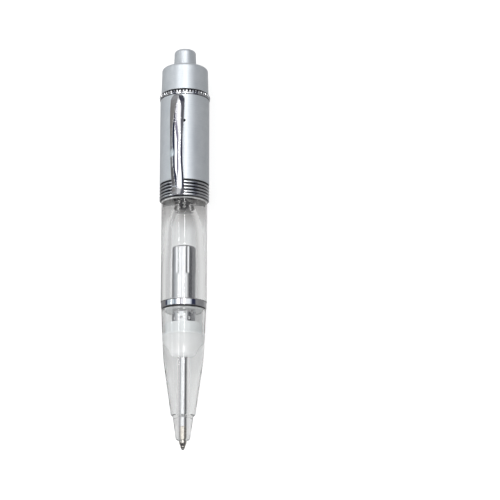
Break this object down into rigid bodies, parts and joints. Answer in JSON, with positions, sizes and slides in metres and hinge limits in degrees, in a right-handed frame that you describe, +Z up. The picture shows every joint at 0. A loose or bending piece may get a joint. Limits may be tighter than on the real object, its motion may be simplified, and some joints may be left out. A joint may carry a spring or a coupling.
{
  "type": "light-up pen",
  "caption": "Twist-action ballpoint pen with a clear barrel and cone, a lamp in the barrel switched by a push button at the tail, a satin tail and a sprung pocket clip.",
  "frame": {"origin": "centre of the underside of the pen lying level on its side, halfway along its length", "axes": "+Y along the pen towards the push button, -Y towards the writing tip, +Z up through the pocket clip"},
  "size_m": [0.0168, 0.1352, 0.0194],
  "materials": {
    "satin_silver": "satin, fine bead-blasted grain",
    "chrome": "bright plated",
    "ribbed_steel": "turned, bright ribs",
    "spring_steel": "drawn wire and stamped strip",
    "cell_can": "plated can",
    "brass": "stamped and turned",
    "clear_plastic": "clear, polished",
    "lamp_resin": "water-clear cast resin",
    "frosted_plastic": "translucent frosted",
    "white_plastic": "moulded",
    "black_plastic": "moulded",
    "board": "solder-masked laminate",
    "rubber": "matt",
    "refill_metal": "nickel plated tube",
    "point_metal": "turned nickel silver",
    "ball_carbide": "ground carbide"
  },
  "bodies": {
    "barrel": {"tail_cap": "satin_silver", "switch_body": "black_plastic", "switch_spring": "spring_steel", "milled_ring": "chrome", "upper_barrel": "satin_silver", "contact_plate": "brass", "battery_spring": "spring_steel", "button_cells": "cell_can", "battery_sleeve": "black_plastic", "lamp_board": "board", "board_resistor": "black_plastic", "board_contact": "brass", "lamp_holder": "black_plastic", "lamp_leads": "spring_steel", "lamp": "lamp_resin", "barrel_gasket": "rubber", "coupling_collar": "ribbed_steel", "clear_barrel": "clear_plastic", "centre_ring": "chrome", "twist_washer": "black_plastic", "mechanism_tube": "chrome", "helix_cam": "white_plastic"},
    "button": {"push_button": "satin_silver", "switch_plunger": "white_plastic"},
    "clip": {"pocket_clip": "chrome"},
    "front": {"slotted_rotor": "brass", "rotor_snap_ring": "spring_steel", "front_bush": "frosted_plastic", "front_cone": "clear_plastic", "nose_tip": "clear_plastic"},
    "refill": {"refill_carriage": "white_plastic", "carriage_pin": "spring_steel", "refill_tube": "refill_metal", "refill_tip": "point_metal"},
    "ball": {"writing_ball": "ball_carbide"}
  },
  "joints": [
    {"name": "button_press", "type": "slide", "parent": "barrel", "child": "button", "axis": [0, -1, 0], "range_m": [0, 0.0015], "stiffness_N_per_m": 400, "springref_m": -0.002, "deforming": ["switch_spring"]},
    {"name": "clip_flex", "type": "hinge", "parent": "barrel", "child": "clip", "pos_m": [0, 0.0404, 0.01653], "axis": [-1, 0, 0], "range_deg": [0, 3.5], "stiffness_Nm_per_rad": 2, "springref_deg": -1.72},
    {"name": "barrel_twist", "type": "hinge", "parent": "barrel", "child": "front", "pos_m": [0, -0.0206, 0.00843], "axis": [0, 1, 0], "range_deg": [0, 180]},
    {"name": "refill_slide", "type": "slide", "parent": "front", "child": "refill", "axis": [0, 1, 0], "range_m": [0, 0.0045]},
    {"name": "ball_roll", "type": "hinge", "parent": "refill", "child": "ball", "pos_m": [0, -0.0671, 0.00843], "axis": [1, 0, 0], "continuous": true}
  ],
  "couplings": [
    {"joint": "refill_slide", "follows": "barrel_twist", "m_per_rad": 0.0014323}
  ]
}
